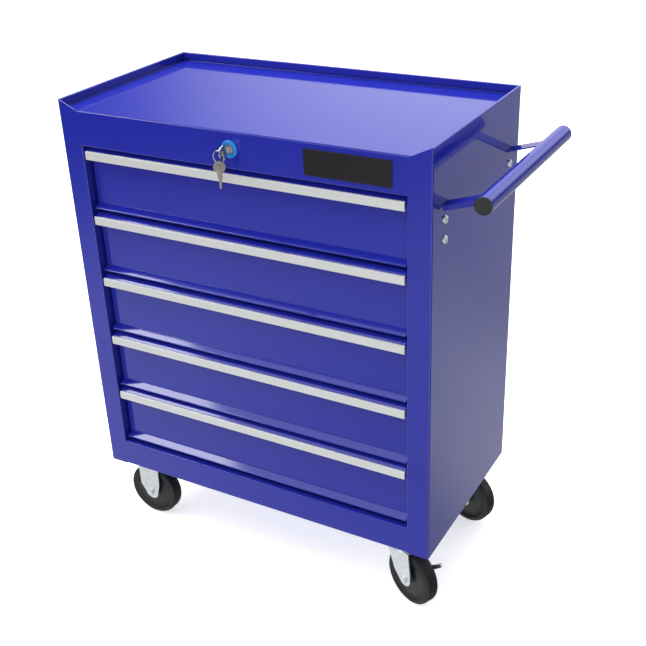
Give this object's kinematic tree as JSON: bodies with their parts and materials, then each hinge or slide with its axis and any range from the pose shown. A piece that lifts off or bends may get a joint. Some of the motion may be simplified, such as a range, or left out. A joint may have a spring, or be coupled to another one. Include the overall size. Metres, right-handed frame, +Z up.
{
  "type": "tool cart",
  "caption": "Rolling steel tool cabinet with sliding drawers, full-width pulls, rimmed top tray, side push handle, key lock and casters.",
  "frame": {"origin": "on the floor, at the middle of the whole cart's footprint", "axes": "+Z up, -Y out of the drawer fronts, +X towards the push handle"},
  "size_m": [0.6966, 0.3514, 0.775],
  "materials": {
    "blue_powder_coat": "gloss powder coat",
    "pull_aluminium": "satin anodised",
    "slide_zinc": "zinc plated",
    "zinc_plate": "bright zinc plated",
    "tyre_rubber": "moulded rubber",
    "hub_plastic": "moulded plastic",
    "cap_plastic": "moulded plastic",
    "nameplate_black": "satin black plate",
    "lock_bezel_blue": "sky blue collar",
    "key_nickel": "nickel plated",
    "guide_nylon": "natural nylon"
  },
  "bodies": {
    "root": {"back_panel": "blue_powder_coat", "base_panel": "blue_powder_coat", "bottom_rail": "blue_powder_coat", "caster_fasteners": "zinc_plate", "front_header": "blue_powder_coat", "handle_bracket": "blue_powder_coat", "handle_end_caps": "cap_plastic", "handle_fasteners": "zinc_plate", "handle_tube": "blue_powder_coat", "lock_bar_guides": "guide_nylon", "lock_bezel": "lock_bezel_blue", "lock_housing": "zinc_plate", "nameplate": "nameplate_black", "rigid_axles": "zinc_plate", "rigid_forks": "zinc_plate", "side_panel_left": "blue_powder_coat", "side_panel_right": "blue_powder_coat", "slide_rails": "slide_zinc", "slide_uprights": "blue_powder_coat", "swivel_plates": "zinc_plate", "top_tray": "blue_powder_coat"},
    "drawer_1": {"drawer_1_pan": "blue_powder_coat", "drawer_1_front": "blue_powder_coat", "drawer_1_pull": "pull_aluminium", "drawer_1_runners": "slide_zinc"},
    "drawer_2": {"drawer_2_pan": "blue_powder_coat", "drawer_2_front": "blue_powder_coat", "drawer_2_pull": "pull_aluminium", "drawer_2_runners": "slide_zinc"},
    "drawer_3": {"drawer_3_pan": "blue_powder_coat", "drawer_3_front": "blue_powder_coat", "drawer_3_pull": "pull_aluminium", "drawer_3_runners": "slide_zinc"},
    "drawer_4": {"drawer_4_pan": "blue_powder_coat", "drawer_4_front": "blue_powder_coat", "drawer_4_pull": "pull_aluminium", "drawer_4_runners": "slide_zinc"},
    "drawer_5": {"drawer_5_pan": "blue_powder_coat", "drawer_5_front": "blue_powder_coat", "drawer_5_pull": "pull_aluminium", "drawer_5_runners": "slide_zinc"},
    "lock_cylinder": {"lock_plug": "key_nickel", "key": "key_nickel", "lock_rod": "zinc_plate"},
    "locking_bar": {"lock_bar": "zinc_plate"},
    "caster_front": {"swivel_fork_front": "zinc_plate", "swivel_axle_front": "zinc_plate"},
    "wheel_front_right": {"tyre_front_right": "tyre_rubber", "hub_front_right": "hub_plastic"},
    "wheel_front_left": {"tyre_front_left": "tyre_rubber", "hub_front_left": "hub_plastic"},
    "caster_rear": {"swivel_fork_rear": "zinc_plate", "swivel_axle_rear": "zinc_plate"},
    "wheel_rear_right": {"tyre_rear_right": "tyre_rubber", "hub_rear_right": "hub_plastic"},
    "wheel_rear_left": {"tyre_rear_left": "tyre_rubber", "hub_rear_left": "hub_plastic"},
    "brake_front": {"brake_lever_front": "zinc_plate"}
  },
  "joints": [
    {"name": "drawer_1_slide", "type": "slide", "parent": "root", "child": "drawer_1", "axis": [0, -1, 0], "range_m": [0, 0.24]},
    {"name": "drawer_2_slide", "type": "slide", "parent": "root", "child": "drawer_2", "axis": [0, -1, 0], "range_m": [0, 0.24]},
    {"name": "drawer_3_slide", "type": "slide", "parent": "root", "child": "drawer_3", "axis": [0, -1, 0], "range_m": [0, 0.24]},
    {"name": "drawer_4_slide", "type": "slide", "parent": "root", "child": "drawer_4", "axis": [0, -1, 0], "range_m": [0, 0.24]},
    {"name": "drawer_5_slide", "type": "slide", "parent": "root", "child": "drawer_5", "axis": [0, -1, 0], "range_m": [0, 0.24]},
    {"name": "lock_turn", "type": "hinge", "parent": "root", "child": "lock_cylinder", "pos_m": [-0.04025, -0.14875, 0.7355], "axis": [0, 1, 0], "range_deg": [0, 90]},
    {"name": "lock_bar_lift", "type": "slide", "parent": "root", "child": "locking_bar", "axis": [0, 0, 1], "range_m": [0, 0.00849]},
    {"name": "swivel_front", "type": "hinge", "parent": "root", "child": "caster_front", "pos_m": [0.20475, -0.10375, 0.0995], "axis": [0, 0, 1], "continuous": true},
    {"name": "wheel_front_right_spin", "type": "hinge", "parent": "caster_front", "child": "wheel_front_right", "pos_m": [0.22667, -0.11351, 0.0485], "axis": [0.4067, 0.9135, 0], "continuous": true},
    {"name": "brake_front_press", "type": "hinge", "parent": "caster_front", "child": "brake_front", "pos_m": [0.22667, -0.11351, 0.0485], "axis": [0.4067, 0.9135, 0], "range_deg": [0, 25]},
    {"name": "wheel_front_left_spin", "type": "hinge", "parent": "root", "child": "wheel_front_left", "pos_m": [-0.29125, -0.10575, 0.0485], "axis": [0, 1, 0], "continuous": true},
    {"name": "swivel_rear", "type": "hinge", "parent": "root", "child": "caster_rear", "pos_m": [0.20475, 0.13025, 0.0995], "axis": [0, 0, 1], "continuous": true},
    {"name": "wheel_rear_right_spin", "type": "hinge", "parent": "caster_rear", "child": "wheel_rear_right", "pos_m": [0.22788, 0.12384, 0.0485], "axis": [0.2672, 0.9636, 0], "continuous": true},
    {"name": "wheel_rear_left_spin", "type": "hinge", "parent": "root", "child": "wheel_rear_left", "pos_m": [-0.29125, 0.13225, 0.0485], "axis": [0, 1, 0], "continuous": true}
  ],
  "couplings": [
    {"joint": "lock_turn", "follows": "lock_bar_lift", "rad_per_m": 185.02}
  ]
}
